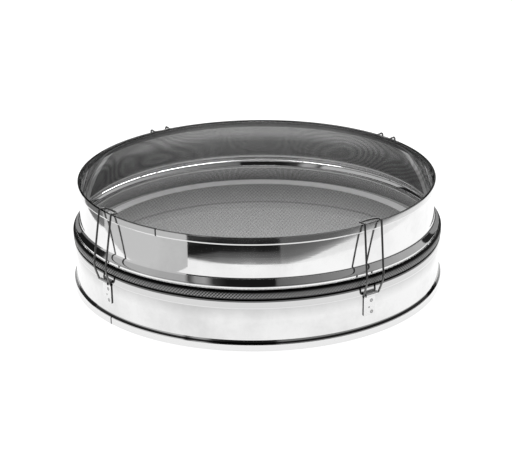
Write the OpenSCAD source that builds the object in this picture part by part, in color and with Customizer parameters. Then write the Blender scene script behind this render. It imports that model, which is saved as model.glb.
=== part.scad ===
// Tamis drum sieve with an exchangeable mesh, held together by four spring-wire clips.
// Origin on the drum's axis at the bottom face, +Z up, front at -Y, all sizes in millimetres.

/* [Upper hoop] */
// Outer radius of the upper hoop's rim band
rim_r = 150.1; // [120:0.1:180]
// Overall height of the closed sieve, to the top of the rim band
total_h = 90.5; // [80:0.5:120]
// Thickness of the sheet of both hoops
sheet_t = 0.8; // [0.6:0.1:1]
// Radius of the outward bend at the foot of the upper wall
flare_r = 6.2; // [5:0.1:8]
// Angle through which the foot of the upper wall is bent
flare_turn = 66; // [50:1:75]
// Radius of the rolled lip under the flare
lip_r = 1.05; // [0.9:0.05:1.2]

/* [Folded bands] */
// Height of the band on the upper rim
upper_band_h = 6.1; // [4:0.1:8]
// Height of the band on the lower hoop's top edge
middle_band_h = 7.4; // [5:0.1:9]
// Height of the band on the base edge
base_band_h = 6.2; // [4:0.1:8]
// Thickness of a band's sheet
band_t = 0.65; // [0.5:0.05:0.8]
// Width of the open seam where a band's two ends meet
seam_w = 0.3; // [0.2:0.05:0.6]

/* [Lower hoop] */
// Height of the lower hoop with its bands
lower_h = 42; // [38:0.1:46]
// How far the lower wall lies inside the outermost reach of the covered bead
lower_step = 1; // [-0.5:0.05:1.5]
// How far the foot of the lower wall is set out over the base band
base_step = 1.5; // [0.2:0.1:2]
// Height over which the lower wall is set out
base_step_h = 2.4; // [1.5:0.1:4]

/* [Mesh insert] */
// Height of the cloth's underside above the table
cloth_z = 27.3; // [18:0.1:30]
// Thickness of the woven cloth, two wires deep
cloth_t = 0.5; // [0.4:0.05:0.7]
// Openings across the cloth, which stand for its far finer weave
cloth_gaps = 12; // [6:1:12]
// Width of the bars between those openings
cloth_bar = 3; // [2:0.5:6]
// Turn of the weave from the front towards the right
cloth_turn = 38; // [0:1:90]
// How far the bead's inner face lies outside the upper hoop's inner face
bead_step = 1.97; // [1.5:0.01:2.3]
// Width of the rolled bead, measured radially
bead_w = 4.8; // [4.4:0.1:5.4]
// Height of the rolled bead
bead_h = 6.8; // [5.5:0.1:8]
// Radius of the bead's rounded corners
bead_corner = 1.4; // [1:0.1:1.8]
// How far the bead bulges in past the mesh ring's wall
bead_bulge = 0.8; // [0.5:0.1:1]
// Thickness of the mesh ring's sheet
ring_t = 0.8; // [0.6:0.1:1]
// Width of the mesh ring's flat foot
foot_w = 6; // [4:0.1:12]
// Diameter of the stiffening wire inside the bead
core_d = 2.6; // [2:0.1:3]

/* [Clips] */
// Diameter of the clip wire
wire_d = 1.6; // [1.2:0.1:2]
// Distance between a clip's two legs, middle to middle
leg_gap = 16; // [15:0.5:24]
// How far the hook reaches in past the leg
hook_reach = 5.8; // [5:0.1:9]
// Free height between the rim and the hook over it
hook_clear = 0.9; // [0.6:0.05:1.5]
// Free height of the hook's crossbar above the level of the rim
bar_clear = 0.15; // [0.1:0.05:0.4]
// Free width between the rim and a clip's leg
leg_clear = 0.7; // [0.4:0.05:1.5]
// How far the legs' knees stand out past the hinge axis
knee_out = 3.5; // [2:0.1:5]
// Height of the knees above the hinge axis
knee_up = 12; // [9:0.5:15]
// Radius of the bends in the clip wire
wire_bend = 1.7; // [1.3:0.1:2]
// Running clearance of the clip wire in its eye, on the radius
eye_clear = 0.06; // [0.03:0.01:0.1]
// How far the hinge axis lies below the top of the lower hoop
pivot_drop = 6.4; // [5:0.1:9]

/* [Hinge plates] */
// Width of a hinge plate
plate_w = 11; // [8:0.5:12]
// Height of a hinge plate below its hinge axis
plate_h = 18.6; // [14:0.2:22]
// Thickness of a hinge plate
plate_t = 0.8; // [0.6:0.1:1]
// Free width between the hinge eye and the band behind it
eye_gap = 0.3; // [0.2:0.05:0.6]
// Radius of the plate's lower corners
plate_corner = 1.2; // [0.6:0.1:2]
// Diameter of a spot-weld dimple
weld_d = 2.4; // [1.6:0.1:3]
// Depth of a spot-weld dimple
weld_deep = 0.25; // [0.1:0.05:0.4]

/* [Places round the drum, in degrees from the front towards the right] */
// Front right clip
front_right_az = 33.5; // [20:0.1:50]
// Back right clip
back_right_az = 127.9; // [110:0.1:150]
// Back left clip
back_left_az = 216.3; // [200:0.1:240]
// Front left clip
front_left_az = 309.7; // [290:0.1:325]
// How far the front right clip's hook leans to the right, in mm
front_right_lean = 5.5; // [-6:0.5:6]
// How far the front left clip's hook leans to the right, in mm
front_left_lean = -3; // [-6:0.5:6]
// Seam in the upper rim band
upper_seam_az = 328.9; // [326:0.1:360]
// Seam in the lower hoop's top band
middle_seam_az = 171; // [155:0.1:195]
// Seam in the base band
base_seam_az = 311.7; // [290:0.1:360]

/* [Hidden] */

bend_steps = 5;         // flats in a quarter turn of a bent sheet
wire_sides = 10;        // sides of the bent part of a clip wire
wire_step = 18;         // degrees of bend between two rings of a clip wire
touch = 0.02;           // play between two sheets that lie against each other
rest_gap = 0.3;         // play between pieces that lift off each other

// Upper hoop
upper_r = rim_r - band_t - touch;                    // outside of the wall
upper_in_r = upper_r - sheet_t;
flare_mid_r = upper_r + flare_r;                     // centre of the outward bend
lip_mid_r = flare_mid_r - (flare_r + lip_r) * cos(flare_turn);

// Mesh insert, seen from the bead outwards and downwards
bead_in_r = upper_in_r + bead_step;
bead_out_r = bead_in_r + bead_w;
skin = touch + cloth_t;                              // what the cloth adds to the metal
cloth_out_r = bead_out_r + skin;
ring_in_r = bead_in_r + bead_bulge;                  // inside of the wall below the bead
ring_out_r = ring_in_r + ring_t;
foot_low_z = cloth_z + cloth_t + touch;
foot_top_z = foot_low_z + ring_t;

// Lower hoop
lower_r = cloth_out_r - lower_step;
lower_in_r = lower_r - sheet_t;
band_add = touch + band_t;                           // what a folded band adds to its hoop
band_round = band_t * 0.9;                           // rounding of a band's fold
middle_band_z = lower_h - middle_band_h;             // lower edge of the top band
foot_r = lower_r + base_step;                        // outside of the wall's set-out foot
foot_in_r = lower_in_r + base_step;

// The bead's lower corner seats on the shoulder of the lower hoop's top band
seat_dx = (lower_in_r - band_add + band_round) - (bead_out_r - bead_corner);
seat_d = bead_corner + skin + rest_gap + band_round;
bead_low_z = lower_h - band_round + sqrt(seat_d * seat_d - seat_dx * seat_dx) - bead_corner;
bead_top_z = bead_low_z + bead_h;
bead_mid_z = (bead_low_z + bead_top_z) / 2;

// The lip seats on the covered bead
lip_z = bead_top_z + skin + rest_gap + lip_r;
flare_z = lip_z + (flare_r + lip_r) * sin(flare_turn);

// Clip hinges
wire_r = wire_d / 2;
eye_r = wire_r + eye_clear;
eye_out_r = eye_r + plate_t;
plate_in_r = lower_r + touch;
plate_out_r = plate_in_r + plate_t;
pivot_r = lower_r + band_add + eye_gap + eye_out_r;
pivot_z = lower_h - pivot_drop;
knee_r = pivot_r + knee_out;
knee_z = pivot_z + knee_up;                          // where the legs turn in to the eye
leg = leg_gap / 2;
leg_r = rim_r + leg_clear + wire_r;                  // legs where they pass the rim
hook_z = total_h + hook_clear + wire_r;

function arc(cx, cy, r, from, to) =
    let (n = max(2, ceil(abs(to - from) / 90 * bend_steps)))
    [for (i = [0:n]) let (a = from + (to - from) * i / n) [cx + r * cos(a), cy + r * sin(a)]];

// ---- general shapes -------------------------------------------------------------------

// Turns a piece drawn at the front round to its bearing
module at_bearing(az) {
    rotate([0, 0, az]) children();
}

// A ring of revolution whose profile is a list of [radius, height] points
module ring(profile) {
    rotate_extrude($fn = 180) polygon(profile);
}

// A strip folded over a sheet's edge, with an open seam: two legs joined by a rounded fold.
// in_r and out_r bound the sheet, edge_z is the fold's outside, way is 1 above and -1 below.
module folded_band(in_r, out_r, edge_z, height, way, seam_az) {
    a = in_r - band_add;
    b = out_r + band_add;
    seam_turn = seam_w / out_r * 180 / PI;
    outline = concat(
        [[a, -height]],
        arc(a + band_round, -band_round, band_round, 180, 90),
        arc(b - band_round, -band_round, band_round, 90, 0),
        [[b, -height], [out_r + touch, -height], [out_r + touch, -band_t],
         [in_r - touch, -band_t], [in_r - touch, -height]]);
    rotate([0, 0, seam_az - 90 + seam_turn / 2])
        rotate_extrude(angle = 360 - seam_turn, $fn = 180)
            polygon([for (p = outline) [p[0], edge_z + way * p[1]]]);
}

// ---- upper hoop -----------------------------------------------------------------------

module upper_hoop() {
    top = total_h - band_t - touch;
    // where the wall's inner face runs into the back of the lip: the triangle between the
    // bend's centre, the lip's centre and that point
    a = flare_r + lip_r;
    b = flare_r + sheet_t;
    meet_bend = acos((a * a + b * b - lip_r * lip_r) / (2 * a * b));
    meet_lip = acos((a * a + lip_r * lip_r - b * b) / (2 * a * lip_r));
    color([0.82, 0.83, 0.84])
    ring(concat(
        [[upper_in_r, top], [upper_r, top]],
        arc(flare_mid_r, flare_z, flare_r, 180, 180 + flare_turn),
        arc(lip_mid_r, lip_z, lip_r, flare_turn - 15, flare_turn + meet_lip - 360 + 10),
        arc(flare_mid_r, flare_z, b, 180 + flare_turn - meet_bend, 180)));
}

module upper_rim_band() {
    color([0.78, 0.79, 0.8])
    folded_band(upper_in_r, upper_r, total_h, upper_band_h, 1, upper_seam_az);
}

// ---- mesh insert ----------------------------------------------------------------------

// The bead's outside from below its lower corner to its top, grown outwards
function bead_outside(grow) = concat(
    arc(bead_out_r - bead_corner, bead_low_z + bead_corner, bead_corner + grow, -90, 0),
    arc(bead_out_r - bead_corner, bead_top_z - bead_corner, bead_corner + grow, 0, 90));

module mesh_ring() {
    fillet = ring_t;
    color([0.8, 0.81, 0.82])
    difference() {
        ring(concat(
            [[ring_in_r - foot_w, foot_low_z], [ring_out_r - fillet, foot_low_z]],
            [[ring_out_r, foot_low_z + fillet], [ring_out_r, bead_low_z]],
            bead_outside(0),
            arc(bead_in_r + bead_corner, bead_top_z - bead_corner, bead_corner, 90, 180),
            [[bead_in_r, bead_low_z + bead_bulge], [ring_in_r, bead_low_z]],
            [[ring_in_r, foot_top_z + fillet / 2], [ring_in_r - fillet / 2, foot_top_z],
             [ring_in_r - foot_w, foot_top_z]]));
        ring_core(core_d / 2 + touch);
    }
}

module ring_core(r) {
    rotate_extrude($fn = 180)
        translate([(bead_in_r + bead_out_r) / 2, bead_mid_z]) circle(r = r, $fn = 32);
}

module mesh_ring_core() {
    color([0.55, 0.55, 0.56])
    ring_core(core_d / 2);
}

// The flat woven disc: a plain square grid inside the ring's foot stands for the weave, and
// its bars are as wide as gives the disc about the weight of the real cloth
module mesh_cloth() {
    free_r = ring_in_r - foot_w;
    pitch = 2 * free_r / cloth_gaps;
    gap = pitch - cloth_bar;
    row = [for (i = [0:cloth_gaps - 1]) (i + 0.5) * pitch - free_r];
    color([0.62, 0.62, 0.62])
    translate([0, 0, cloth_z]) at_bearing(cloth_turn) linear_extrude(cloth_t)
        difference() {
            circle(r = ring_out_r, $fn = 180);
            intersection() {
                circle(r = free_r, $fn = 180);
                for (x = row, y = row)
                    // only squares that reach far enough inside the ring's foot
                    if (norm([abs(x) - gap / 2, abs(y) - gap / 2]) < free_r - cloth_bar)
                        translate([x, y]) square(gap, center = true);
            }
        }
}

// The cloth's margin: up the outside of the ring's wall and over its bead
module mesh_cloth_edge() {
    in_r = ring_out_r + touch;
    inside = bead_outside(touch);
    color([0.36, 0.36, 0.37])
    ring(concat(
        [[in_r, cloth_z], [in_r + cloth_t, cloth_z], [in_r + cloth_t, bead_low_z - skin]],
        bead_outside(skin),
        [for (i = [len(inside) - 1:-1:0]) inside[i]],
        [[in_r, bead_low_z - touch]]));
}

// ---- lower hoop -----------------------------------------------------------------------

// A plain wall whose foot is set out a little just above the base band
module lower_hoop() {
    step_low = base_band_h + touch;
    step_high = base_band_h + base_step_h;
    color([0.84, 0.85, 0.86])
    ring([[foot_in_r, band_add], [foot_r, band_add], [foot_r, step_low], [lower_r, step_high],
          [lower_r, lower_h - band_add], [lower_in_r, lower_h - band_add],
          [lower_in_r, step_high], [foot_in_r, step_low]]);
}

module lower_top_band() {
    color([0.78, 0.79, 0.8])
    folded_band(lower_in_r, lower_r, lower_h, middle_band_h, 1, middle_seam_az);
}

module base_rim_band() {
    color([0.78, 0.79, 0.8])
    folded_band(foot_in_r, foot_r, 0, base_band_h, -1, base_seam_az);
}

// ---- hinge plates ---------------------------------------------------------------------

// Drawn at the front: x runs along the wall and -y points out of the drum
module hinge_plate() {
    low_z = pivot_z - plate_h;
    neck_z = min(middle_band_z - eye_gap, pivot_z - eye_r);      // where the neck clears the band
    neck_h = 1.6;
    weld_r = (weld_d * weld_d / 4 + weld_deep * weld_deep) / (2 * weld_deep);
    weld_inset = weld_d / 2 + 1.3;
    color([0.8, 0.8, 0.81])
    difference() {
        intersection() {
            // the sheet's section, from the welded part up into the rolled eye
            rotate([90, 0, 90]) translate([0, 0, -plate_w / 2]) linear_extrude(plate_w)
                difference() {
                    union() {
                        translate([-pivot_r, pivot_z]) circle(r = eye_out_r, $fn = 64);
                        polygon([[-plate_in_r, low_z], [-plate_in_r, neck_z - neck_h],
                                 [-(pivot_r - eye_out_r + touch), neck_z],
                                 [-(pivot_r - eye_out_r + touch), pivot_z - touch],
                                 [-pivot_r, pivot_z], [-pivot_r, pivot_z - eye_r - plate_t / 2],
                                 [-plate_out_r, neck_z - neck_h - plate_t / 2],
                                 [-plate_out_r, low_z]]);
                    }
                    translate([-pivot_r, pivot_z]) circle(r = eye_r, $fn = 64);
                }
            // the outline with its two rounded lower corners
            rotate([90, 0, 0]) translate([0, 0, plate_in_r - 1])
                linear_extrude(2 + plate_t + eye_gap + 2 * eye_out_r + band_add)
                polygon(concat(
                    arc(-plate_w / 2 + plate_corner, low_z + plate_corner, plate_corner, 180, 270),
                    arc(plate_w / 2 - plate_corner, low_z + plate_corner, plate_corner, 270, 360),
                    [[plate_w / 2, pivot_z + eye_out_r + 1],
                     [-plate_w / 2, pivot_z + eye_out_r + 1]]));
        }
        for (z = [low_z + weld_inset, neck_z - neck_h - weld_inset])
            translate([0, -(plate_out_r + weld_r - weld_deep), z]) sphere(r = weld_r, $fn = 48);
    }
}

// ---- clips ----------------------------------------------------------------------------

function unit(v) = v / norm(v);

// A path with each inner corner replaced by an arc of its own radius
function bent(path, radii) = concat([path[0]],
    [for (i = [1:len(path) - 2])
        let (p = path[i], u = unit(path[i - 1] - p), v = unit(path[i + 1] - p),
             half = acos(u * v) / 2, r = radii[i - 1],
             a = p + u * r / tan(half), b = p + v * r / tan(half),
             c = p + unit(u + v) * r / sin(half), turn = 180 - 2 * half,
             n = max(1, ceil(turn / wire_step)), e = unit(a - c),
             g = unit((b - c) - e * ((b - c) * e)))
        for (k = [0:n]) c + r * (e * cos(turn * k / n) + g * sin(turn * k / n))],
    [path[len(path) - 1]]);

// Sideways directions carried along a path without twist
function carried(points, side, i = 0) =
    let (last = len(points) - 1,
         dir = unit(points[min(i + 1, last)] - points[max(i - 1, 0)]),
         s = unit(side - dir * (side * dir)))
    i == last ? [[dir, s]] : concat([[dir, s]], carried(points, s, i + 1));

// A round wire along a path
module wire(points) {
    frames = carried(points, [0, 1, 0]);
    n = wire_sides;
    rings = len(points);
    function at(i, k) = i * n + k % n;
    polyhedron(
        points = [for (i = [0:rings - 1])
            let (s = frames[i][1], t = cross(frames[i][0], s))
            for (k = [0:n - 1]) points[i]
                + wire_r * 1.02 * (s * cos(360 * (k + 0.3) / n) + t * sin(360 * (k + 0.3) / n))],
        faces = concat(
            [for (k = [1:n - 2]) [0, k, k + 1]],
            [for (i = [0:rings - 2], k = [0:n - 1]) each
                [[at(i, k), at(i + 1, k + 1), at(i, k + 1)],
                 [at(i, k), at(i + 1, k), at(i + 1, k + 1)]]],
            [for (k = [1:n - 2]) [at(rings - 1, 0), at(rings - 1, k + 1), at(rings - 1, k)]]),
        convexity = 8);
}

// Drawn at the front: x runs along the wall and -y points out of the drum. The hook leans
// sideways by lean, in even steps up from the hinge axis.
module clip(lean = 0) {
    bar_z = total_h + bar_clear + wire_r;
    bar_r = leg_r - hook_reach;
    elbow = wire_r + 0.4;                                    // bend beside the eye
    foot = plate_w / 2 + elbow + 0.4;                        // corner of that bend
    pin = foot - elbow;
    function leant(path) = [for (p = path)
        p + [lean * (p[2] - pivot_z) / (hook_z - pivot_z), 0, 0]];
    color([0.6, 0.6, 0.61])
    union() {
        translate([-pin, -pivot_r, pivot_z]) rotate([0, 90, 0])
            cylinder(r = wire_r, h = 2 * pin, $fn = 48);
        // right leg, over the rim and back along the crossbar
        wire(bent(leant(
            [[pin - 0.2, -pivot_r, pivot_z], [foot, -pivot_r, pivot_z],
             [leg, -knee_r, knee_z], [leg, -leg_r, hook_z], [leg, -bar_r, bar_z],
             [0, -bar_r + 1.2, bar_z], [-leg - 0.4, -bar_r + 0.2, bar_z]]),
            [elbow, 10 * wire_bend, wire_bend, wire_bend, 10 * wire_bend]));
        // left leg, ending in a short tail inside the rim
        wire(bent(leant(
            [[-pin + 0.2, -pivot_r, pivot_z], [-foot, -pivot_r, pivot_z],
             [-leg, -knee_r, knee_z], [-leg, -leg_r, hook_z],
             [-leg, -bar_r - 2 * wire_r, bar_z + 0.2]]),
            [elbow, 10 * wire_bend, wire_bend]));
    }
}

// ---- the pieces at their places ---------------------------------------------------------

module hinge_plate_front_right() { at_bearing(front_right_az) hinge_plate(); }
module hinge_plate_back_right() { at_bearing(back_right_az) hinge_plate(); }
module hinge_plate_back_left() { at_bearing(back_left_az) hinge_plate(); }
module hinge_plate_front_left() { at_bearing(front_left_az) hinge_plate(); }
module clip_front_right() { at_bearing(front_right_az) clip(front_right_lean); }
module clip_back_right() { at_bearing(back_right_az) clip(); }
module clip_back_left() { at_bearing(back_left_az) clip(); }
module clip_front_left() { at_bearing(front_left_az) clip(front_left_lean); }

upper_hoop();
upper_rim_band();
mesh_ring();
mesh_ring_core();
mesh_cloth();
mesh_cloth_edge();
lower_hoop();
lower_top_band();
base_rim_band();
hinge_plate_front_right();
hinge_plate_back_right();
hinge_plate_back_left();
hinge_plate_front_left();
clip_front_right();
clip_back_right();
clip_back_left();
clip_front_left();
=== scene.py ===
import bpy
import numpy as np
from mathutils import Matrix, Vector


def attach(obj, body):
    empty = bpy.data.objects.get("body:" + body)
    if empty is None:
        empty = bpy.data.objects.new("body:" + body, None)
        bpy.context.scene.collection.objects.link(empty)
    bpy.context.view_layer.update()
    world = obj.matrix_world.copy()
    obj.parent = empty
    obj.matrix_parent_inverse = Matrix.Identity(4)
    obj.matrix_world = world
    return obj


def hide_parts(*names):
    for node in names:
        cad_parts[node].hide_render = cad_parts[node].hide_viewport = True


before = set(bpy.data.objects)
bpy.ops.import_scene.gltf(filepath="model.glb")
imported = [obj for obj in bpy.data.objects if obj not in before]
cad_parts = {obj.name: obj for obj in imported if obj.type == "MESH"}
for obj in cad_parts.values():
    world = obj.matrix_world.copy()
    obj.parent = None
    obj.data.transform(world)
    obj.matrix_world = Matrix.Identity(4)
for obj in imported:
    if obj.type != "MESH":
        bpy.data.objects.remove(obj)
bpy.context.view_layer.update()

# ---- Upper hoop -----------------------------------------------------------------------------
# The upper hoop is a rolled cylinder of polished stainless sheet. Its lower edge is spun
# outwards into a cove that ends in a small curled lip, and that lip sits on the mesh insert.

mm = 0.001
TURNS = 720
DRUM_R = 150


def arc(cx, cz, r, start, end, steps):
    """Points on a circle round (cx, cz): centre + r (cos a, sin a), a in even steps."""
    a = np.radians(np.linspace(start, end, steps + 1))
    return np.stack([cx + r * np.cos(a), cz + r * np.sin(a)], -1)


def mesh_piece(name, points, faces, finish, sharp=35):
    """A mesh object from arrays of points in mm and of faces, smooth up to a bend angle."""
    mesh = bpy.data.meshes.new(name)
    mesh.from_pydata((np.asarray(points) * mm).tolist(), [], faces)
    mesh.polygons.foreach_set("use_smooth", [True] * len(mesh.polygons))
    mesh.set_sharp_from_angle(angle=np.radians(sharp))
    mesh.materials.append(finish)
    obj = bpy.data.objects.new(name, mesh)
    bpy.context.collection.objects.link(obj)
    return obj


def revolve(name, profile, finish, seam=None, sharp=35):
    """A closed (radius, height) profile turned about Z: point (i, j) is profile point j
    at angle i. seam = (bearing, width in mm) leaves an open butt joint there."""
    profile = np.asarray(profile, float)
    r, z = profile[:, 0], profile[:, 1]
    if np.sum(r * np.roll(z, -1) - np.roll(r, -1) * z) < 0:
        profile = profile[::-1]
    n = len(profile)
    if seam:
        half = np.degrees(seam[1] / 2 / profile[:, 0].max())
        angle = np.radians(np.linspace(seam[0] - 90 + half, seam[0] + 270 - half, TURNS + 1))
    else:
        angle = np.radians(np.arange(TURNS) * 360 / TURNS)
    points = np.stack([profile[None, :, 0] * np.cos(angle)[:, None],
                       profile[None, :, 0] * np.sin(angle)[:, None],
                       np.repeat(profile[None, :, 1], len(angle), 0)], -1).reshape(-1, 3)
    i, j = np.meshgrid(np.arange(TURNS), np.arange(n), indexing="ij")
    after = (i + 1) % len(angle)
    up = (j + 1) % n
    faces = np.stack([i * n + j, after * n + j, after * n + up, i * n + up], -1)
    faces = faces.reshape(-1, 4).tolist()
    if seam:
        faces.append(list(range(n)))
        faces.append([TURNS * n + k for k in range(n)][::-1])
    return mesh_piece(name, points, faces, finish, sharp)


class Value:
    """Wraps a socket, so that shader maths on it reads as plain expressions. Without a socket
    it only adds nodes to its tree."""

    def __init__(self, tree, socket=None):
        self.tree, self.socket = tree, socket

    def node(self, kind, settings=None, **inputs):
        """Adds a node: its settings first, then the values or links of its sockets, each by
        its name, or by _ and its number where names repeat."""
        made = self.tree.nodes.new(kind)
        for key, value in (settings or {}).items():
            if key == "stops":
                ramp = made.color_ramp
                while len(ramp.elements) < len(value):
                    ramp.elements.new(0.5)
                for element, (place, grey) in zip(ramp.elements, value):
                    element.position = place
                    element.color = (grey, grey, grey, 1)
            else:
                setattr(made, key, value)
        for key, value in inputs.items():
            socket = made.inputs[int(key[1:]) if key[0] == "_" else key.replace("_", " ")]
            if isinstance(value, Value):
                self.tree.links.new(value.socket, socket)
            else:
                socket.default_value = value
        return made

    def out(self, kind, settings=None, output=0, **inputs):
        """Adds a node and wraps one of its outputs."""
        return Value(self.tree, self.node(kind, settings, **inputs).outputs[output])

    def math(self, operation, other=0.0, reverse=False):
        """A Math node on (self, other), or on (other, self) if reversed."""
        a, b = (other, self) if reverse else (self, other)
        return self.out("ShaderNodeMath", {"operation": operation}, _0=a, _1=b)

    def __add__(self, other):
        return self.math("ADD", other)

    __radd__ = __add__

    def __sub__(self, other):
        return self.math("SUBTRACT", other)

    def __rsub__(self, other):
        return self.math("SUBTRACT", other, True)

    def __mul__(self, other):
        return self.math("MULTIPLY", other)

    __rmul__ = __mul__

    def __truediv__(self, other):
        return self.math("DIVIDE", other)

    def __abs__(self):
        return self.math("ABSOLUTE")

    def sine(self):
        return self.math("SINE")

    def hypot(self, other):
        """Length of the flat vector (self, other): the root of the sum of squares."""
        return (self * self + other * other).math("SQRT")

    def pick(self, there, elsewhere):
        """Mask x there + (1 - mask) x elsewhere."""
        return self * there + (1.0 - self) * elsewhere

    def ramp(self, *stops):
        """Maps the value through straight pieces between (place, grey) stops."""
        return self.out("ShaderNodeValToRGB", {"stops": stops}, Fac=self)

    def bump(self):
        """The normal of a surface that this height, in metres, lifts."""
        return self.out("ShaderNodeBump", Strength=1.0, Distance=1.0, Height=self)

    def parts(self):
        """The parts of a vector as three values."""
        split = self.node("ShaderNodeSeparateXYZ", Vector=self)
        return [Value(self.tree, socket) for socket in split.outputs]

    def xyz(self):
        """The place on the object in mm, as three values."""
        return [part / mm for part in self.out("ShaderNodeTexCoord", output="Object").parts()]

    def uv(self, name):
        """The place in a UV map, as two values."""
        return self.out("ShaderNodeUVMap", {"uv_map": name}).parts()[:2]

    def noise(self, scale, detail, rough, stretch=None):
        """Noise on object coordinates, in cycles per metre, stretched per axis if asked."""
        place = self.out("ShaderNodeTexCoord", output="Object")
        if stretch:
            place = self.out("ShaderNodeMapping", Vector=place, Scale=stretch)
        return self.out("ShaderNodeTexNoise", Vector=place, Scale=scale, Detail=detail,
                        Roughness=rough)


def material(name):
    """A new material with its Principled shader, and a Value that adds nodes to it."""
    made = bpy.data.materials.new(name)
    made.use_nodes = True
    return made, Value(made.node_tree)


def feed(made, **inputs):
    """Links values into the material's shader, or sets them there where they are numbers."""
    for key, value in inputs.items():
        socket = made.node_tree.nodes["Principled BSDF"].inputs[key.replace("_", " ")]
        if isinstance(value, Value):
            made.node_tree.links.new(value.socket, socket)
        else:
            socket.default_value = value


WAVE_H, LINE_H = 1.6 * mm, 0.002 * mm


def smears(build):
    """Finger smears: 0 on clean steel, rising to 1 where the noise is high."""
    return build.noise(26, 4, 0.6).ramp((0.42, 0), (0.72, 1))


def polished_steel(name, rough=0.02, wavy=0.12):
    """Bright sheet: height = rolling waves + hair-fine lines round the drum, and roughness =
    finger smears + the same lines. Its colour is for the caller to feed."""
    made, build = material(name)
    lines = build.noise(900, 2, 0.5, (0.02, 0.02, 1.0))
    waves = build.noise(18, 1, 0.3)
    feed(made, Metallic=1.0, Roughness=smears(build) * 0.05 + lines * 0.02 + rough,
         Normal=(waves * wavy * WAVE_H + lines * LINE_H).bump())
    return made, build


BAND_T, TOUCH, SHEET_T = 0.65, 0.02, 0.8
RIM_R, TOTAL_H = 150.1, 90.5
UPPER_R = RIM_R - BAND_T - TOUCH
UPPER_IN_R = UPPER_R - SHEET_T
UPPER_TOP = TOTAL_H - BAND_T - TOUCH
FLARE_R, FLARE_TURN, LIP_R = 6.2, 66, 1.05
LIP_Z, FLARE_Z = 51.49, 58.113
FLARE_MID_R = UPPER_R + FLARE_R
LIP_MID_R = FLARE_MID_R - (FLARE_R + LIP_R) * np.cos(np.radians(FLARE_TURN))
# The lip's flat front as (outwards, up) from the lip's middle
LIP_FRONT = ((0.72, 0.88), (LIP_R - 0.03, 0.80), (LIP_R, 0.72), (LIP_R, 0.6), (LIP_R, -0.5),
             (LIP_R, -0.6))
SHADE_FROM, SHADE_OVER = 55, 35


def upper_hoop_steel():
    """Outside: grey = clouds. Inside: grey = painted shade, a ramp of height that darkens
    towards the foot, x (1 + strength x painted moire), with the moire = sine of a noise that
    stands in for the cloth's reflection, stronger the further the place is from the middle
    plane."""
    made, build = polished_steel("upper_hoop_steel")
    x, y, z = build.xyz()
    inside = (x.hypot(y) - UPPER_IN_R).ramp((0.3, 1.0), (0.4, 0.0))
    # Painted shade: the inner wall is darker towards its foot
    shade = ((z - SHADE_FROM) / SHADE_OVER).ramp((0.05, 0.27), (0.43, 0.43), (0.52, 0.6),
                                                 (0.68, 0.95))
    # Painted reflection: a moire that stands in for the cloth seen in the wall
    painted_moire = (build.noise(9, 1, 0.4, (1, 1, 2.5)) * 190).sine()
    strength = abs(x / DRUM_R).ramp((0.2, 0.03), (0.7, 0.2))
    clouds = build.noise(14, 5, 0.65).ramp((0.36, 0.7), (0.6, 0.8))
    feed(made, Base_Color=inside.pick(shade * (painted_moire * strength + 1.0), clouds))
    return made


upper_hoop = revolve("upper_hoop_sheet", np.concatenate([
    [[UPPER_IN_R, UPPER_TOP], [UPPER_R, UPPER_TOP]],
    arc(FLARE_MID_R, FLARE_Z, FLARE_R, 180, 180 + FLARE_TURN, 16),
    np.add((LIP_MID_R, LIP_Z), LIP_FRONT),
    arc(LIP_MID_R, LIP_Z, LIP_R, -45, FLARE_TURN - 276, 16),
    arc(FLARE_MID_R, FLARE_Z, FLARE_R + SHEET_T, 180 + FLARE_TURN - 10, 180, 14)]),
    upper_hoop_steel())
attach(upper_hoop, "upper")
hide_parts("upper_hoop")

# ---- Band on the upper rim ------------------------------------------------------------------
# A strip of the same sheet is folded over the rim and pressed tight. Its two ends meet in an
# open butt joint at the front left.

BAND_ROUND = BAND_T * 0.95
# The outer leg's rolled free edge as (inwards, up) from its foot
FREE_EDGE = ((0.0, 1.15), (0.0, 1.0), (0.14, 0.45), (0.38, 0.0))
RIM_BAND_H, RIM_SEAM, RIM_SEAM_W, RIM_STAND_OFF = 6.1, 328.9, 0.5, 0.6


def folded_band(name, in_r, out_r, edge, height, way, finish, seam, stand_off=0.0):
    """A U-section over a sheet's edge, open away from it; way is 1 upwards, -1 downwards.
    The free edges are rolled in a little, and the inner leg may spring off its sheet."""
    inner, outer = in_r - TOUCH - BAND_T, out_r + TOUCH + BAND_T
    pressed, sprung = inner - stand_off * 0.4, inner + stand_off * 0.6
    section = np.concatenate([
        [[in_r - TOUCH - 0.2, -height], [pressed + 0.15, -height + 0.1],
         [pressed, -height + 0.5], [sprung, -1.2]],
        arc(sprung + BAND_ROUND, -BAND_ROUND, BAND_ROUND, 180, 90, 6),
        arc(outer - BAND_ROUND, -BAND_ROUND, BAND_ROUND, 90, 0, 6),
        [[outer, -BAND_ROUND - 0.15]],
        np.multiply((-1, 1), FREE_EDGE) + (outer, -height),
        [[out_r + TOUCH, -height], [out_r + TOUCH, -BAND_T], [in_r - TOUCH, -BAND_T],
         [in_r - TOUCH, -height]]])
    section[:, 1] = edge + way * section[:, 1]
    return revolve(name, section, finish, seam)


def bearing_of(x, y):
    """Angle of a place from the front, growing to the right, in radians: atan2(x, -y)."""
    return x.math("ARCTAN2", y * -1.0)


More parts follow.
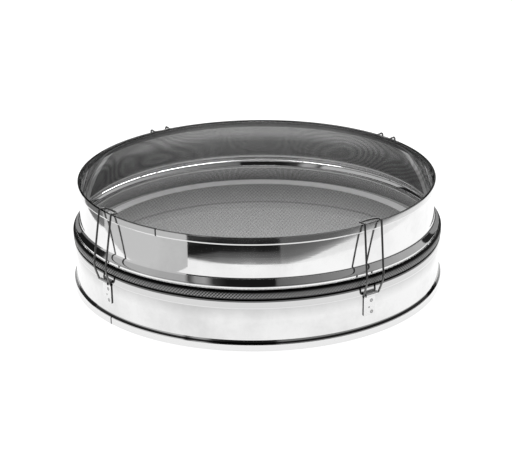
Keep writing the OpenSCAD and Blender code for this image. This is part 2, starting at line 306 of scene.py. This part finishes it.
def band_steel(name, tone, seam, edge=None):
    """Folded strip: a dark line where its ends meet and, where edge is a height, a painted
    shade line along its fold and painted shade on its inner leg. Grey = tone x seam ramp x fold
    shade ramp x inner leg shade ramp."""
    made, build = polished_steel(name, rough=0.05, wavy=0.03)
    x, y, z = build.xyz()
    from_seam = abs(bearing_of(x, y) - np.radians((seam + 180) % 360 - 180)) * DRUM_R
    grey = from_seam.ramp((0.45, 0.04), (0.8, 1.0)) * tone
    if edge:
        # Painted shade: a dark line along the fold, and a darker inner leg
        grey = grey * (edge - z).ramp((0.0, 0.04), (0.12, 0.15), (0.4, 1.0))
        grey = grey * (x.hypot(y) - UPPER_IN_R).ramp((0.0, 0.42), (0.6, 1.0))
    feed(made, Base_Color=grey)
    return made


upper_band = folded_band("upper_rim_band_strip", UPPER_IN_R, UPPER_R, TOTAL_H, RIM_BAND_H, 1,
                         band_steel("upper_rim_band_steel", 0.72, RIM_SEAM, TOTAL_H),
                         (RIM_SEAM, RIM_SEAM_W), RIM_STAND_OFF)
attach(upper_band, "upper")
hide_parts("upper_rim_band")

# ---- Mesh ring ------------------------------------------------------------------------------
# The mesh ring is spun from sheet: a rolled bead on top that is clamped between the hoops, a
# wall that goes down inside the lower hoop, and a flat foot turned in over the cloth's edge.

CLOTH_Z, CLOTH_T = 27.3, 0.5
SKIN = TOUCH + CLOTH_T
BEAD_IN_R = UPPER_IN_R + 1.97
BEAD_W, BEAD_H, BEAD_CORNER = 4.8, 6.8, 1.4
BEAD_OUT_R = BEAD_IN_R + BEAD_W
BEAD_LOW = 42.82
BEAD_TOP = BEAD_LOW + BEAD_H
BEAD_ROLL, BEAD_TUCK, BEAD_BULGE = 5.6, 1.6, 0.8
RING_IN_R = BEAD_IN_R + BEAD_BULGE
RING_OUT_R = RING_IN_R + SHEET_T
FOOT_LOW = CLOTH_Z + CLOTH_T + TOUCH
FOOT_TOP = FOOT_LOW + SHEET_T
FOOT_W = 6.0
# The foot's upper side as (outwards, up) from the foot of the wall's inside
FOOT_RISE = ((0.0, 1.8), (-0.1, 1.7), (-0.6, 1.5), (0.4 - FOOT_W, 0.12), (-FOOT_W, 0.0))


def bead_outside(grow):
    """The bead's outer contour from below its lower corner to its top, grown outwards: two
    quarter circles of radius corner + grow, with the straight side between them."""
    middle_r, r = BEAD_OUT_R - BEAD_CORNER, BEAD_CORNER + grow
    return np.concatenate([arc(middle_r, BEAD_LOW + BEAD_CORNER, r, -90, 0, 8),
                           arc(middle_r, BEAD_TOP - BEAD_CORNER, r, 0, 90, 8)])


def mesh_ring_steel():
    """Polished wall with painted shade, darker downwards, above a pale and dull foot. The
    foot's mask falls from 1 to 0 at 1.7 mm above its flat edge, and grey, metal and roughness
    all follow it."""
    made, build = polished_steel("mesh_ring_steel", wavy=0.05)
    above_foot = build.xyz()[2] - FOOT_TOP
    foot = (above_foot / 4).ramp((0.42, 1.0), (0.45, 0.0))
    # Painted shade: the wall is darker towards the foot
    wall = (above_foot / 20).ramp((0.1, 0.5), (0.6, 0.85), (1.0, 0.8))
    feed(made, Base_Color=foot.pick(0.98, wall), Metallic=1.0 - foot,
         Roughness=foot * 0.5 + 0.02)
    return made


mesh_ring = revolve("mesh_ring_sheet", np.concatenate([
    [[RING_IN_R - FOOT_W, FOOT_LOW], [RING_OUT_R - SHEET_T, FOOT_LOW]],
    arc(RING_OUT_R - SHEET_T, FOOT_LOW + SHEET_T, SHEET_T, -80, 0, 6),
    [[RING_OUT_R, BEAD_LOW]],
    bead_outside(0),
    arc(BEAD_IN_R + BEAD_ROLL, BEAD_TOP - BEAD_ROLL - 0.1, BEAD_ROLL, 114, 180, 16),
    arc(BEAD_IN_R + BEAD_TUCK, BEAD_TOP - BEAD_ROLL - 0.4, BEAD_TUCK, 180, 240, 8),
    np.add((RING_IN_R, FOOT_TOP), FOOT_RISE)]), mesh_ring_steel())
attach(mesh_ring, "mesh_insert")
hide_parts("mesh_ring", "mesh_ring_core")

# ---- Woven wire cloth -----------------------------------------------------------------------
# The sieve's floor is plain-woven stainless wire. Every wire is a thin bar here, one layer
# over the other; the margin is turned up outside the ring and over its bead.

PITCH, WIRE = 1.05, 0.34
CLOTH_TURN = 38.0
CLOTH_R = RING_OUT_R - 0.05
TWILL = 2.6


def turned(points, degrees):
    """Points turned about Z: (x cos - y sin, x sin + y cos, z)."""
    c, s = np.cos(np.radians(degrees)), np.sin(np.radians(degrees))
    return points @ np.array([[c, s, 0], [-s, c, 0], [0, 0, 1]])


def lay_flat(obj, name, places):
    """A UV map in which each corner of a face has its vertex's (along, up) place in mm."""
    corners = np.empty(len(obj.data.loops), int)
    obj.data.loops.foreach_get("vertex_index", corners)
    obj.data.uv_layers.new(name=name).data.foreach_set("uv", places[corners].ravel())


def wire_layer(name, turn, z, finish):
    """Parallel square wires: wire k lies at offset k x pitch, as long as its chord."""
    count, sides = int(CLOTH_R / PITCH), 4
    offset = np.arange(-count, count + 1) * PITCH
    half = np.sqrt(np.maximum(CLOTH_R ** 2 - offset ** 2, 1))
    a = np.radians(45 + 360 / sides * np.arange(sides))
    x = np.stack([-half, half], -1)[:, :, None] + 0 * a
    y = offset[:, None, None] + WIRE / 2 * np.cos(a) + 0 * x
    height = z + WIRE / 2 * np.sin(a) + 0 * x
    points = turned(np.stack([x, y, height], -1).reshape(-1, 3), turn)
    k = np.arange(sides)
    side = np.stack([k, sides + k, sides + (k + 1) % sides, (k + 1) % sides], -1)
    caps = np.stack([k[::-1], sides + k])
    start = np.arange(len(offset))[:, None, None] * 2 * sides
    faces = (start + side).reshape(-1, 4).tolist() + (start + caps).reshape(-1, sides).tolist()
    return mesh_piece(name, points, faces, finish, 30)


def wire_steel(name, grey, rough, metal=1.0):
    """Drawn wire: dull metal, a little uneven: roughness = rough + 0.2 x a fine noise."""
    made, build = material(name)
    feed(made, Metallic=metal, Base_Color=(grey, grey, grey * 0.99, 1),
         Roughness=build.noise(300, 3, 0.6) * 0.2 + rough)
    return made, build


def cloth_wire_steel():
    """Wire with faint painted glints: grey = 0.27 + 0.045 x (sine + sine), each sine of a
    distance along a direction 20 degrees to one side of X, at 2 radians per mm."""
    made, build = wire_steel("cloth_wire_steel", 0.27, 0.35, 0.3)
    x, y, z = build.xyz()
    # Painted highlights: glints as stripes in the wire's colour
    painted_glints = ((x * 0.94 + y * 0.34) * 2.0).sine() + ((x * 0.94 - y * 0.34) * 2.0).sine()
    feed(made, Base_Color=painted_glints * 0.045 + 0.27)
    return made


def woven_margin_steel():
    """Cloth seen as a skin, on (u round the drum, v up) in mm. Grey = a ramp of 0.5 + 0.35 x
    sine of (u - v) + 0.2 x sine of (u + v), one wave per twill, x painted shade by v, dark
    under the lip and at the bead's lower corner."""
    made, build = material("woven_margin_steel")
    u, v = build.uv("cloth")
    rising = ((u - v) * (2 * np.pi / TWILL)).sine()
    falling = ((u + v) * (2 * np.pi / TWILL)).sine()
    wires = (rising * 0.35 + falling * 0.2 + 0.5).ramp((0.25, 0.03), (0.8, 0.44))
    # Painted shade: dark under the lip and at the bead's lower corner
    shade = ((v - BEAD_LOW) / BEAD_H).ramp((0.0, 0.1), (0.12, 0.35), (0.2, 1.0), (0.62, 0.8),
                                           (0.86, 0.03))
    feed(made, Metallic=1.0, Base_Color=wires * shade, Roughness=0.5)
    return made


cloth_steel = cloth_wire_steel()
for label, turn, z in (("warp", CLOTH_TURN, CLOTH_Z + WIRE * 0.5),
                       ("weft", CLOTH_TURN + 90, CLOTH_Z + CLOTH_T - WIRE * 0.5 + 0.01)):
    layer = wire_layer("cloth_" + label, turn, z, cloth_steel)
    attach(layer, "mesh_insert")
    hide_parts("mesh_cloth")

margin_in_r = RING_OUT_R + TOUCH
margin_out_r = margin_in_r + CLOTH_T
margin = revolve("mesh_cloth_margin", np.concatenate([
    [[margin_in_r, CLOTH_Z], [margin_out_r, CLOTH_Z], [margin_out_r, BEAD_LOW - SKIN]],
    bead_outside(SKIN), bead_outside(TOUCH)[::-1], [[margin_in_r, BEAD_LOW - TOUCH]]]),
    woven_margin_steel())
points = np.empty(len(margin.data.vertices) * 3)
margin.data.vertices.foreach_get("co", points)
x, y, z = points.reshape(-1, 3).T / mm
lay_flat(margin, "cloth", np.stack([np.arctan2(y, x) * BEAD_OUT_R, z], -1))
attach(margin, "mesh_insert")
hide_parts("mesh_cloth_edge")

# ---- Lower hoop and its bands ---------------------------------------------------------------
# The lower hoop is a plain rolled cylinder that the mesh insert drops into. It has a folded
# band on its top edge and one on its base edge, which the sieve stands on.

LOWER_H = 42.0
LOWER_R = BEAD_OUT_R + SKIN - 1.0
LOWER_IN_R = LOWER_R - SHEET_T
TOP_BAND_H, TOP_SEAM, TOP_SEAM_W = 7.4, 171, 0.5
BASE_BAND_H, BASE_SEAM, BASE_SEAM_W = 6.2, 311.7, 0.6
BASE_STEP, BASE_STEP_H = 1.5, 2.4
FOOT_IN_R, FOOT_R = LOWER_IN_R + BASE_STEP, LOWER_R + BASE_STEP
LOWER_LOW, LOWER_TOP = BAND_T + TOUCH, LOWER_H - BAND_T - TOUCH
STEP_LOW, STEP_TOP = BASE_BAND_H + TOUCH, BASE_BAND_H + BASE_STEP_H


def lower_hoop_steel():
    """Pale sheet with painted shade, darker upwards, cloudy, and with a painted shade line in
    the groove at its step that grows wider away from the middle plane. Grey = groove shade ramp
    x height shade ramp x clouds."""
    made, build = material("lower_hoop_steel")
    x, y, z = build.xyz()
    # Painted shade: a dark line in the groove at the step
    groove = (z - STEP_LOW) / (STEP_TOP - STEP_LOW) - abs(x) / DRUM_R * 0.55
    groove = groove.ramp((0.0, 0.03), (0.05, 0.08), (0.32, 0.08), (0.40, 1.0))
    # Painted shade: the sheet is darker towards its top
    shade = (z / LOWER_H).ramp((0.2, 0.84), (0.6, 0.79), (0.82, 0.6), (1.0, 0.6))
    clouds = build.noise(14, 5, 0.65).ramp((0.34, 0.84), (0.56, 1.0))
    feed(made, Metallic=1.0, Base_Color=groove * shade * clouds,
         Roughness=smears(build) * 0.07 + 0.05,
         Normal=(build.noise(18, 1, 0.3) * 0.4 * mm).bump())
    return made


def lower_top_band_steel():
    """Strip with painted shade along its top, under the bead, and painted highlight lines: grey
    is a ramp of the depth below its top edge.
    """
    made, build = material("lower_top_band_steel")
    # Painted shade at the top and painted highlight lines lower down
    grey = ((LOWER_H - build.xyz()[2]) / 10).ramp(
        (0.0, 0.05), (0.05, 0.06), (0.08, 0.2), (0.11, 0.1), (0.15, 0.1), (0.18, 0.6),
        (0.63, 0.6), (0.65, 0.74), (0.70, 0.74), (0.74, 0.6))
    feed(made, Metallic=1.0, Base_Color=grey, Roughness=0.08)
    return made


lower_hoop = revolve("lower_hoop_sheet", [
    [FOOT_IN_R, LOWER_LOW], [FOOT_R, LOWER_LOW], [FOOT_R, STEP_LOW], [LOWER_R, STEP_TOP],
    [LOWER_R, LOWER_TOP], [LOWER_IN_R, LOWER_TOP], [LOWER_IN_R, STEP_TOP],
    [FOOT_IN_R, STEP_LOW]], lower_hoop_steel(), sharp=8)
lower_top = folded_band("lower_top_band_strip", LOWER_IN_R, LOWER_R, LOWER_H, TOP_BAND_H, 1,
                        lower_top_band_steel(), (TOP_SEAM, TOP_SEAM_W))
base_band = folded_band("base_rim_band_strip", FOOT_IN_R, FOOT_R, 0, BASE_BAND_H, -1,
                        band_steel("base_rim_band_steel", 0.8, BASE_SEAM),
                        (BASE_SEAM, BASE_SEAM_W))
for piece, node in ((lower_hoop, "lower_hoop"), (lower_top, "lower_top_band"),
                    (base_band, "base_rim_band")):
    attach(piece, "base")
    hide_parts(node)

# ---- Hinge plates ---------------------------------------------------------------------------
# Four small plates of stainless sheet are spot-welded to the lower hoop, each with its top
# edge curled into an eye for a clip.

WIRE_R, EYE_R, EYE_GAP, EYE_DROP = 0.8, 0.86, 0.3, 6.4
PLATE_T, PLATE_W, PLATE_H, PLATE_CORNER = 0.8, 11.0, 18.6, 1.2
PIVOT_R = LOWER_R + TOUCH + BAND_T + EYE_GAP + EYE_R + PLATE_T
PIVOT_Z = LOWER_H - EYE_DROP
PLATE_LOW = PIVOT_Z - PLATE_H
# Each clip's bearing in degrees and how far its hook leans sideways in mm
CLIPS = {"front_right": (33.5, 5.5), "back_right": (127.9, 0), "back_left": (216.3, 0),
         "front_left": (309.7, -3)}
# Each weld mark as (across, up from the plate's lower edge, radius)
WELDS = ((1.8, 12.2, 1.7), (2.2, 2.6, 1.7), (-0.3, 6.8, 0.9))


def plate_sheet(path):
    """Corners, faces and kinds of face (0 skin, 1 cut edge) of a sheet along a path. Skins =
    path +- half the thickness, square to it. Half width = half the plate - c + root of
    (c squared - d squared), with c the corner's radius and d the depth into the corner."""
    along = np.gradient(path, axis=0)
    along /= np.linalg.norm(along, axis=1)[:, None]
    across = np.stack([along[:, 1], -along[:, 0]], -1) * PLATE_T / 2
    skins = np.stack([path + across, path - across], 1)
    down = np.clip(PLATE_LOW + PLATE_CORNER - path[:, 1], 0, PLATE_CORNER)
    half = PLATE_W / 2 - PLATE_CORNER + np.sqrt(PLATE_CORNER ** 2 - down ** 2)
    corners = np.stack(np.broadcast_arrays(
        half[:, None, None] * [-1, 1], -skins[:, :, :1], skins[:, :, 1:]), -1).reshape(-1, 3)
    last = 4 * len(path) - 4
    rows = np.arange(0, last, 4)[:, None, None]
    faces = (rows + [[0, 1, 5, 4], [3, 2, 6, 7], [2, 0, 4, 6], [1, 3, 7, 5]]).reshape(-1, 4)
    faces = faces.tolist() + [[2, 3, 1, 0], [last, last + 1, last + 3, last + 2]]
    return corners, faces, [0, 0, 1, 1] * (len(path) - 1) + [1, 1]


def hinge_plate_steel():
    """Plain sheet with round weld marks: grey = 0.76 x, for each mark, a ramp of the distance
    from its middle / its radius, on (across, up) in mm."""
    made, build = material("hinge_plate_steel")
    u, v = build.uv("plate")
    grey = 0.76
    for across, up, radius in WELDS:
        away = (u - across).hypot(v - (PLATE_LOW + up)) / radius
        grey = away.ramp((0.0, 0.75), (0.4, 0.5), (0.7, 0.22), (1.0, 1.0)) * grey
    feed(made, Metallic=1.0, Base_Color=grey, Roughness=0.22)
    return made


plate_mid_r, eye_mid = LOWER_R + TOUCH + PLATE_T / 2, EYE_R + PLATE_T / 2
corners, faces, kinds = plate_sheet(np.concatenate([
    [[plate_mid_r, PLATE_LOW + up] for up in (0, 0.2, 0.5, 0.9, 1.4, 8, 15)],
    [[plate_mid_r + 0.05, PIVOT_Z - 3.2], [PIVOT_R - eye_mid - 0.35, PIVOT_Z - 2.0],
     [PIVOT_R - eye_mid, PIVOT_Z - 1.2]],
    arc(PIVOT_R, PIVOT_Z, eye_mid, 180, -95, 24)]))
plate_steel = hinge_plate_steel()
# Painted shade: the plates' cut edges are near black, for the shade on their sides
edge_painted_shade, _ = wire_steel("plate_edge_painted_shade", 0.10, 0.4)
for place, (bearing, lean) in CLIPS.items():
    plate = mesh_piece("hinge_plate_sheet_" + place, turned(corners, bearing), faces,
                       plate_steel, 40)
    plate.data.materials.append(edge_painted_shade)
    plate.data.polygons.foreach_set("material_index", kinds)
    lay_flat(plate, "plate", corners[:, [0, 2]])
    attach(plate, "base")
    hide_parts("hinge_plate_" + place)

# ---- Spring clips ---------------------------------------------------------------------------
# Each clip is one length of drawn spring wire: it passes through the eye, goes up in two legs,
# bends in over the rim, and ends in a crossbar from the right leg and a tail on the left one.

BEND, FOOT_BEND, BEND_STEP = 1.7, 1.2, 6.0
LEG_GAP, HOOK_GAP, BAR_GAP, SIDE_GAP = 0.7, 0.9, 0.15, 0.4
BAR_REACH, BAR_BOW, BAR_END, BAR_OVER = 5.8, 1.2, 0.2, 0.4
TAIL_REACH, TAIL_RISE = 4.2, 0.2
KNEE_OUT, KNEE_UP = 3.5, 12
LEG, LEG_R, HOOK_Z = 8.0, RIM_R + LEG_GAP + WIRE_R, TOTAL_H + HOOK_GAP + WIRE_R
FOOT = PLATE_W / 2 + FOOT_BEND + SIDE_GAP
KNEE_R, KNEE_Z = PIVOT_R + KNEE_OUT, PIVOT_Z + KNEE_UP
BAR_R, BAR_Z = LEG_R - BAR_REACH, TOTAL_H + BAR_GAP + WIRE_R
TAIL_R, TAIL_Z = LEG_R - TAIL_REACH, BAR_Z + TAIL_RISE


def bent(path, radii):
    """A path of straight runs with each inner corner rounded to its own radius: points at
    middle + r (cos t e + sin t g), e and g square to each other in the corner's plane."""
    points = [path[0]]
    for before, corner, after, r in zip(path, path[1:], path[2:], radii):
        u = (before - corner) / np.linalg.norm(before - corner)
        v = (after - corner) / np.linalg.norm(after - corner)
        half = np.arccos(np.clip(u @ v, -1, 1)) / 2
        middle = corner + (u + v) / np.linalg.norm(u + v) * r / np.sin(half)
        a, b = corner + u * r / np.tan(half), corner + v * r / np.tan(half)
        e = (a - middle) / r
        g = (b - middle) - e * ((b - middle) @ e)
        g = g / np.linalg.norm(g)
        turn = np.pi - 2 * half
        t = np.linspace(0, turn, max(2, int(np.ceil(np.degrees(turn) / BEND_STEP))) + 1)
        points += list(middle + r * (np.cos(t)[:, None] * e + np.sin(t)[:, None] * g))
    return np.array(points + [path[-1]])


def sweep(path, r):
    """A round wire with flat ends: point (i, k) is path i + r (cos a side + sin a other), a in
    even steps, and each side is the one before it with its part along the path taken out."""
    sides = 16
    tangent = np.gradient(path, axis=0)
    tangent /= np.linalg.norm(tangent, axis=1)[:, None]
    side = [np.array([0.0, 0.0, 1.0])]
    for t in tangent:
        s = side[-1] - t * (side[-1] @ t)
        side.append(s / np.linalg.norm(s))
    side = np.array(side[1:])
    other = np.cross(tangent, side)
    a = np.arange(sides)[:, None] * 2 * np.pi / sides
    points = path[:, None] + r * (np.cos(a) * side[:, None] + np.sin(a) * other[:, None])
    i, k = np.meshgrid(np.arange(len(path) - 1), np.arange(sides), indexing="ij")
    after = (k + 1) % sides
    faces = np.stack([i * sides + k, i * sides + after, (i + 1) * sides + after,
                      (i + 1) * sides + k], -1).reshape(-1, 4).tolist()
    faces.append(list(range(sides))[::-1])
    faces.append([(len(path) - 1) * sides + n for n in range(sides)])
    return points.reshape(-1, 3), faces


def clip_path(lean):
    """The clip's middle line as drawn at the front, from the tail round the eye to the end of
    the bar. Each point moves sideways by lean x its height above the eye / the hook's."""
    path = np.array([
        [-LEG, -TAIL_R, TAIL_Z], [-LEG, -LEG_R, HOOK_Z], [-LEG, -KNEE_R, KNEE_Z],
        [-FOOT, -PIVOT_R, PIVOT_Z], [FOOT, -PIVOT_R, PIVOT_Z], [LEG, -KNEE_R, KNEE_Z],
        [LEG, -LEG_R, HOOK_Z], [LEG, -BAR_R, BAR_Z], [0, -BAR_R + BAR_BOW, BAR_Z],
        [-LEG - BAR_OVER, -BAR_R + BAR_END, BAR_Z]])
    path[:, 0] += lean * (path[:, 2] - PIVOT_Z) / (HOOK_Z - PIVOT_Z)
    return bent(path, [BEND, 10 * BEND, FOOT_BEND, FOOT_BEND, 10 * BEND, BEND, BEND, 10 * BEND])


clip_steel, _ = wire_steel("clip_wire_steel", 0.15, 0.25)
for place, (bearing, lean) in CLIPS.items():
    points, faces = sweep(clip_path(lean), WIRE_R)
    clip = mesh_piece("clip_wire_" + place, turned(points, bearing), faces, clip_steel, 60)
    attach(clip, "clip_" + place)
    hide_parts("clip_" + place)

# ---- Studio ---------------------------------------------------------------------------------
# The sieve stands on white paper under soft overhead light. Cards that only reflections see
# stand where the photographer's dark and pale surfaces stood.

bpy.context.scene.view_settings.view_transform = "Standard"
FLOOR_REACH, FAR_REACH, ROOM_REACH = 6000, 90000, 4000
TABLE_EDGE, CARD_H = 322, 60


def floor_paper():
    """White paper that glows by itself outside the base, so that it hardly takes a shadow;
    under the sieve it glows less, as painted shade: glow = 0.4 + 0.55 x outside, with outside
    rising from 0 to 1 at radius 150 to 156 mm."""
    made, build = material("floor_paper")
    x, y, z = build.xyz()
    # Painted shade: the paper glows less under the sieve
    outside = (x.hypot(y) / 1000).ramp((0.150, 0.0), (0.156, 1.0))
    feed(made, Base_Color=0.8 - outside * 0.62, Roughness=0.8, Specular_IOR_Level=0.1,
         Emission_Color=outside * 0.55 + 0.4, Emission_Strength=1.0)
    return made


def ground(name, reach, z, finish):
    """A square of floor, out to its reach on every side, at height z."""
    obj = mesh_piece(name, [[-reach, -reach, z], [reach, -reach, z], [reach, reach, z],
                            [-reach, reach, z]], [[0, 1, 2, 3]], finish)
    return obj


def card(name, points, faces, made, grey):
    """A black surface that glows in a grey and that only reflections see."""
    feed(made, Base_Color=(0, 0, 0, 1), Roughness=1.0, Specular_IOR_Level=0.0,
         Emission_Color=grey, Emission_Strength=1.0)
    obj = mesh_piece(name, points, faces, made)
    obj.visible_camera = obj.visible_diffuse = obj.visible_shadow = False


def room_grey(build):
    """Grey of the room past the table's edge, by bearing and by the distance beyond the edge:
    it falls in steps on the left and slowly on the right. Beyond = distance from the middle
    - the edge, which lies up to 22 mm further out on the right and 19 mm nearer on the left."""
    x, y, z = build.xyz()
    side = bearing_of(x, y) * (180 / np.pi)
    beyond = x.hypot(y) - TABLE_EDGE - ((side - 14) / 40).ramp((0.0, 0.0), (1.0, 1.0)) * 22
    beyond = (beyond + ((side + 34) / 16).ramp((0.0, 1.0), (1.0, 0.0)) * 19) / 100
    left = beyond.ramp((0.0, 1.0), (0.004, 0.36), (0.03, 0.30), (0.11, 0.20), (0.14, 0.13),
                       (0.22, 0.09), (0.235, 0.05), (0.25, 0.018), (0.42, 0.01), (0.55, 0.05))
    right = beyond.ramp((0.0, 1.0), (0.004, 0.5), (0.12, 0.2), (0.30, 0.13))
    return (side / 180).ramp((0.058, 0.0), (0.062, 1.0)).pick(right, left)


# The far floor carries the paper on for low views, and only the camera sees it
paper = floor_paper()
ground("floor", FLOOR_REACH, 0, paper)
far_floor = ground("far_floor", FAR_REACH, -1, paper)
far_floor.visible_glossy = far_floor.visible_diffuse = far_floor.visible_shadow = False

angle = np.radians(np.arange(0, 360, 5))
k = np.arange(len(angle))
after = (k + 1) % len(k)
dark_room, build = material("dark_room_beyond_the_table")
edges = [np.stack([r * np.cos(angle), r * np.sin(angle), 0 * angle + 0.4], -1)
         for r in (TABLE_EDGE, ROOM_REACH)]
card("dark_room_card", np.concatenate(edges),
     np.stack([k, len(k) + k, len(k) + after, after], -1).tolist(), dark_room, room_grey(build))

LEFT_CARDS = (("left_pale_card_a", 0.66), ("left_pale_card_b", 0.66),
              ("left_pale_card_c", 0.66), ("left_pale_card_d", 0.66), ("left_grey_card", 0.2))
LEFT_LINE = ((-166, -255), (-185, -210), (-234, -138), (-277, -66), (-303, -8), (-286, 130))
for (name, tone), (x0, y0), (x1, y1) in zip(LEFT_CARDS, LEFT_LINE, LEFT_LINE[1:]):
    card(name, [[x0, y0, 0.5], [x1, y1, 0.5], [x1, y1, CARD_H], [x0, y0, CARD_H]],
         [[0, 1, 2, 3]], material(name)[0], (tone, tone, tone, 1))

# The studio's walls as (bearing in degrees, grey), where the bearing is 2 atan2(x, 1 - y) of
# the direction, which keeps an upright edge upright in the flare.
STUDIO = ((-180, 0.3), (-142, 0.3), (-141, 0.012), (-106, 0.012), (-105, 0.5), (-44, 0.5),
          (-43, 0.07), (-41.5, 0.09), (-38, 0.36), (-32, 0.43), (-27, 0.05), (-18, 0.012),
          (10, 0.012), (11.5, 0.16), (50, 0.27), (105, 0.5), (121, 0.55), (122, 0.02),
          (134, 0.02), (135, 0.3))
world = bpy.data.worlds.new("studio")
bpy.context.scene.world = world
world.use_nodes = True
x, y, z = Value(world.node_tree).out("ShaderNodeTexCoord", output="Generated").parts()
turn = x.math("ARCTAN2", 1.0 - y) * 2
grey = (turn / (2 * np.pi) + 0.5).ramp(*[(a / 360 + 0.5, tone) for a, tone in STUDIO])
world.node_tree.links.new(grey.socket, world.node_tree.nodes["Background"].inputs["Color"])


def softbox(name, place, size, power):
    """A square area light at a place in metres, turned to face the sieve."""
    data = bpy.data.lights.new(name, "AREA")
    data.shape = "RECTANGLE"
    data.size = data.size_y = size
    data.energy = power
    obj = bpy.data.objects.new(name, data)
    bpy.context.collection.objects.link(obj)
    obj.location = place
    obj.rotation_mode = "QUATERNION"
    obj.rotation_quaternion = Vector(place).to_track_quat("Z", "Y")
    return obj


softbox("overhead_softbox", (0.12, 1.25, 1.75), 1.2, 42)
softbox("fill_softbox", (0, 0, 1.9), 1.5, 14).visible_glossy = False

# ---- Camera ---------------------------------------------------------------------------------
# The camera looks down at 21 degrees from the front, from 1.2 m away, and is rolled by less
# than a degree, as the ellipses of the rim, the lip, the bead and the base ask for.

ELEVATION, DISTANCE, ROLL = np.radians(21.18), 1.2, np.radians(-0.724)
FOCAL_PX, IMAGE_W, MIDDLE_Y, TARGET_Y, SENSOR = 1404, 512, 233.5, 222.3, 36
target = np.array([-0.98, 0, 45]) * mm
back = np.array([0, -np.cos(ELEVATION), np.sin(ELEVATION)])
camera_data = bpy.data.cameras.new("camera")
camera_data.sensor_width = SENSOR
camera_data.lens = FOCAL_PX / IMAGE_W * SENSOR
camera_data.shift_y = -(MIDDLE_Y - TARGET_Y) / IMAGE_W
camera = bpy.data.objects.new("camera", camera_data)
bpy.context.collection.objects.link(camera)
camera.location = target + back * DISTANCE
camera.rotation_euler = (np.pi / 2 - ELEVATION, 0, 0)
camera.rotation_euler.rotate_axis("Z", ROLL)
bpy.context.scene.camera = camera
